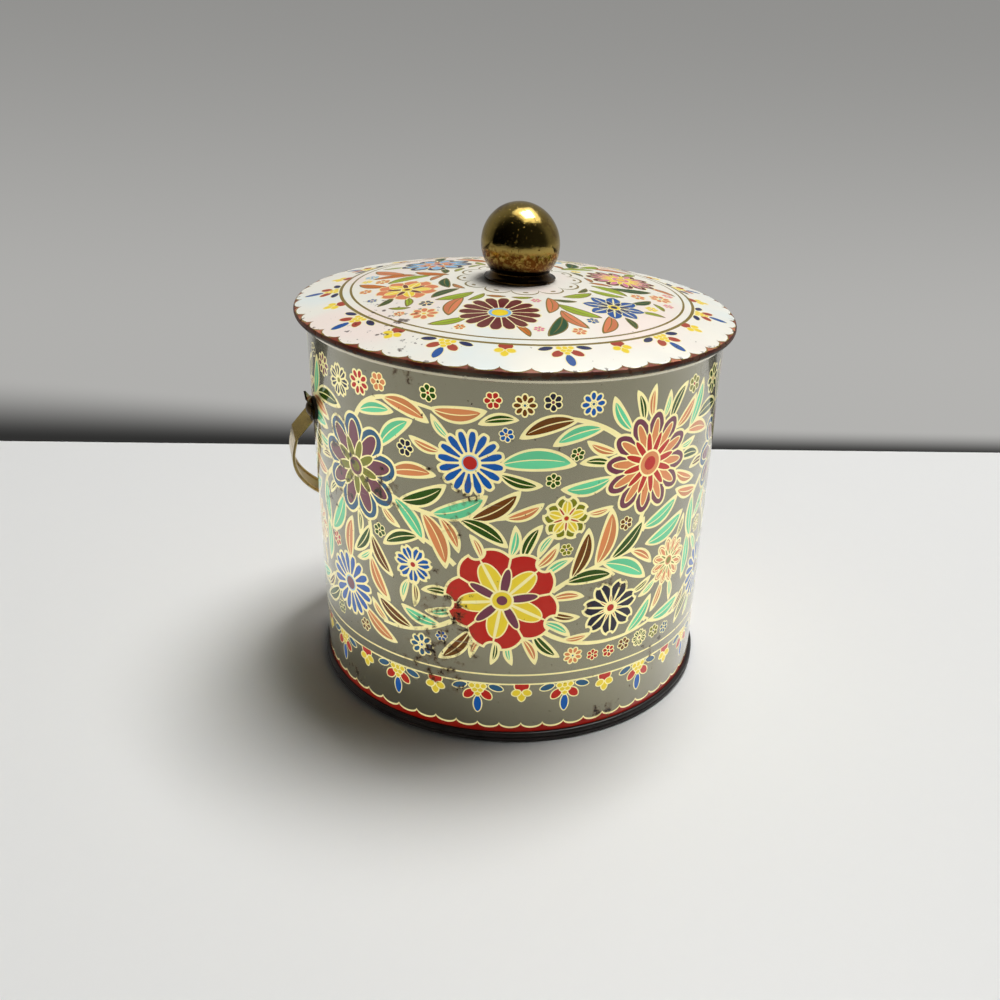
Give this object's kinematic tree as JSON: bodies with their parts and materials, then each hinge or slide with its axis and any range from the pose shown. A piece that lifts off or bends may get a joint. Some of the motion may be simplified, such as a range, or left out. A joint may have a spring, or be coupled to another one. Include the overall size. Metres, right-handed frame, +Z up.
{
  "type": "biscuit tin",
  "caption": "Round printed tinplate biscuit tin with a domed plug lid, a ball knob, a seamed base and a swing bail of brass strip.",
  "frame": {"origin": "on the table under the tin's axis, in the plane of the base seam's flat ring", "axes": "+Z up along the tin's axis; X along the bail's pivots; +Y towards the back, where the lowered bail hangs"},
  "size_m": [0.1494, 0.1466, 0.1607],
  "materials": {
    "wall_print": "glossy lacquer over a printed silver-grey ground",
    "lid_print": "glossy lacquer over a printed pearl ground",
    "base_black": "black lacquer, worn",
    "bare_tin": "bare tinplate, dull",
    "ball_brass": "aged, pitted",
    "collar_brass": "dark patina",
    "bail_brass": "aged, dull",
    "lug_black": "black lacquer, worn",
    "rivet_brass": "dark patina",
    "screw_steel": "dull"
  },
  "bodies": {
    "tin": {"body_wall": "wall_print", "base_end": "base_black", "lug_left": "lug_black", "lug_right": "lug_black", "rivet_left": "rivet_brass", "rivet_right": "rivet_brass", "burr_left": "bare_tin", "burr_right": "bare_tin"},
    "lid": {"lid_cover": "lid_print", "lid_plug": "bare_tin", "knob_shell": "ball_brass", "knob_insert": "screw_steel", "knob_collar": "collar_brass", "knob_screw": "screw_steel", "knob_washer": "screw_steel"},
    "bail": {"bail": "bail_brass"}
  },
  "joints": [
    {"name": "lid_lift", "type": "slide", "parent": "tin", "child": "lid", "axis": [0, 0, 1], "range_m": [0, 0.03]},
    {"name": "bail_swing", "type": "hinge", "parent": "tin", "child": "bail", "pos_m": [0, 0, 0.0985], "axis": [1, 0, 0], "range_deg": [0, 269.9]}
  ]
}
